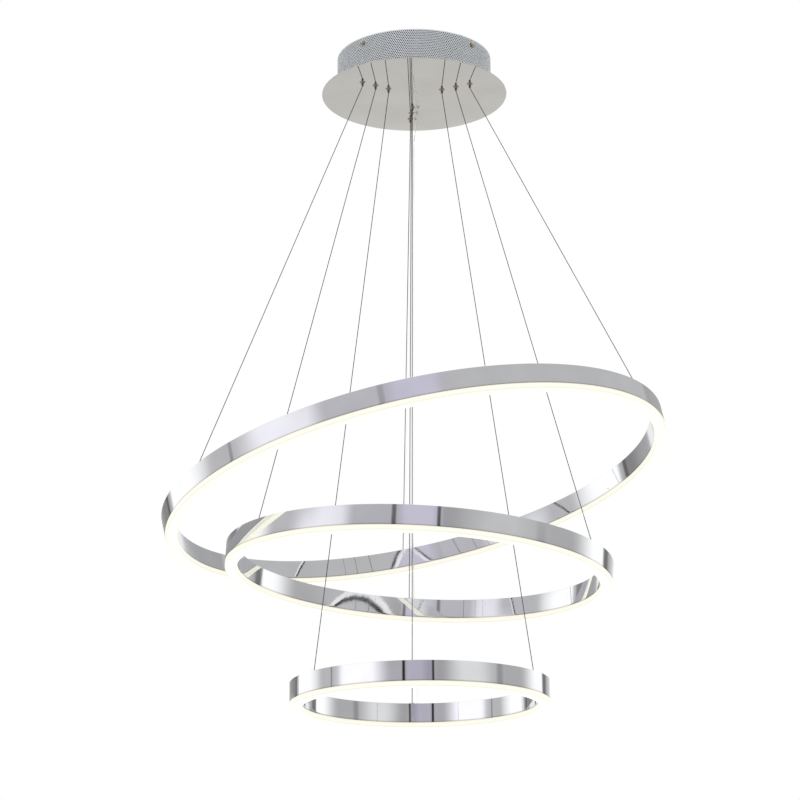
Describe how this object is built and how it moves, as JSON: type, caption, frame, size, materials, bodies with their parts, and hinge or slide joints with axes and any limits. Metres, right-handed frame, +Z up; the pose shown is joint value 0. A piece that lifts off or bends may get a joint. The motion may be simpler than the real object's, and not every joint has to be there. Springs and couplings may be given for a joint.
{
  "type": "pendant ring light",
  "caption": "Suspended ceiling light: mirrored circular channels with opal glowing undersides hang on fine wires, one below another, from a perforated round canopy.",
  "frame": {"origin": "On the ceiling, at the centre of the canopy's mounting plate (its top face)", "axes": "+Z up into the ceiling, the light hangs down along -Z; +Y points away from the viewer of the picture, +X to the viewer's right"},
  "size_m": [0.7912, 0.8002, 1.0798],
  "materials": {
    "zinc_steel": "zinc-plated sheet",
    "perforated_steel": "fine perforated sheet, pale grey",
    "polished_steel": "polished",
    "chrome_channel": "mirror plated",
    "screw_steel": "turned",
    "nickel_brass": "satin nickel plated",
    "spring_steel": "drawn",
    "wire_steel": "fine stranded rope",
    "clear_plastic": "clear",
    "opal_plastic": "opal, lit from behind",
    "board_aluminium": "white coated",
    "driver_plastic": "moulded",
    "block_plastic": "moulded",
    "rubber": "moulded"
  },
  "bodies": {
    "canopy": {"cable_sleeves": "clear_plastic", "canopy_disc": "polished_steel", "ceiling_plate": "zinc_steel", "driver_large": "driver_plastic", "driver_middle": "driver_plastic", "driver_small": "driver_plastic", "drum_screws": "screw_steel", "drum_wall": "perforated_steel", "gripper_barrels": "nickel_brass", "gripper_caps": "nickel_brass", "gripper_nuts": "screw_steel", "gripper_springs": "spring_steel", "large_power_cable": "clear_plastic", "large_wire_far": "wire_steel", "large_wire_left": "wire_steel", "large_wire_right": "wire_steel", "mains_grommet": "rubber", "middle_power_cable": "clear_plastic", "middle_wire_far": "wire_steel", "middle_wire_left": "wire_steel", "middle_wire_right": "wire_steel", "small_power_cable": "clear_plastic", "small_wire_far": "wire_steel", "small_wire_left": "wire_steel", "small_wire_right": "wire_steel", "terminal_block": "block_plastic", "wire_tails": "wire_steel"},
    "large_ring": {"large_cable_inlet": "clear_plastic", "large_channel": "chrome_channel", "large_diffuser": "opal_plastic", "large_light_strip": "board_aluminium", "large_wire_studs": "screw_steel"},
    "middle_ring": {"middle_cable_inlet": "clear_plastic", "middle_channel": "chrome_channel", "middle_diffuser": "opal_plastic", "middle_light_strip": "board_aluminium", "middle_wire_studs": "screw_steel"},
    "small_ring": {"small_cable_inlet": "clear_plastic", "small_channel": "chrome_channel", "small_diffuser": "opal_plastic", "small_light_strip": "board_aluminium", "small_wire_studs": "screw_steel"},
    "large_release_far": {"large_plunger_far": "nickel_brass"},
    "large_release_left": {"large_plunger_left": "nickel_brass"},
    "large_release_right": {"large_plunger_right": "nickel_brass"},
    "middle_release_far": {"middle_plunger_far": "nickel_brass"},
    "middle_release_left": {"middle_plunger_left": "nickel_brass"},
    "middle_release_right": {"middle_plunger_right": "nickel_brass"},
    "small_release_far": {"small_plunger_far": "nickel_brass"},
    "small_release_left": {"small_plunger_left": "nickel_brass"},
    "small_release_right": {"small_plunger_right": "nickel_brass"}
  },
  "joints": [
    {"name": "large_ring_height", "type": "slide", "parent": "canopy", "child": "large_ring", "axis": [0, 0, 1], "range_m": [-0.12, 0.25], "deforming": ["large_wire_far", "large_wire_left", "large_wire_right", "large_power_cable"]},
    {"name": "middle_ring_height", "type": "slide", "parent": "canopy", "child": "middle_ring", "axis": [0, 0, 1], "range_m": [-0.12, 0.25], "deforming": ["middle_wire_far", "middle_wire_left", "middle_wire_right", "middle_power_cable"]},
    {"name": "small_ring_height", "type": "slide", "parent": "canopy", "child": "small_ring", "axis": [0, 0, 1], "range_m": [-0.12, 0.25], "deforming": ["small_wire_far", "small_wire_left", "small_wire_right", "small_power_cable"]},
    {"name": "large_release_far_press", "type": "slide", "parent": "canopy", "child": "large_release_far", "axis": [0, 0, 1], "range_m": [0, 0.002], "stiffness_N_per_m": 400, "springref_m": -0.003, "deforming": ["gripper_springs"]},
    {"name": "large_release_left_press", "type": "slide", "parent": "canopy", "child": "large_release_left", "axis": [0, 0, 1], "range_m": [0, 0.002], "stiffness_N_per_m": 400, "springref_m": -0.003},
    {"name": "large_release_right_press", "type": "slide", "parent": "canopy", "child": "large_release_right", "axis": [0, 0, 1], "range_m": [0, 0.002], "stiffness_N_per_m": 400, "springref_m": -0.003},
    {"name": "middle_release_far_press", "type": "slide", "parent": "canopy", "child": "middle_release_far", "axis": [0, 0, 1], "range_m": [0, 0.002], "stiffness_N_per_m": 400, "springref_m": -0.003},
    {"name": "middle_release_left_press", "type": "slide", "parent": "canopy", "child": "middle_release_left", "axis": [0, 0, 1], "range_m": [0, 0.002], "stiffness_N_per_m": 400, "springref_m": -0.003},
    {"name": "middle_release_right_press", "type": "slide", "parent": "canopy", "child": "middle_release_right", "axis": [0, 0, 1], "range_m": [0, 0.002], "stiffness_N_per_m": 400, "springref_m": -0.003},
    {"name": "small_release_far_press", "type": "slide", "parent": "canopy", "child": "small_release_far", "axis": [0, 0, 1], "range_m": [0, 0.002], "stiffness_N_per_m": 400, "springref_m": -0.003},
    {"name": "small_release_left_press", "type": "slide", "parent": "canopy", "child": "small_release_left", "axis": [0, 0, 1], "range_m": [0, 0.002], "stiffness_N_per_m": 400, "springref_m": -0.003},
    {"name": "small_release_right_press", "type": "slide", "parent": "canopy", "child": "small_release_right", "axis": [0, 0, 1], "range_m": [0, 0.002], "stiffness_N_per_m": 400, "springref_m": -0.003}
  ]
}
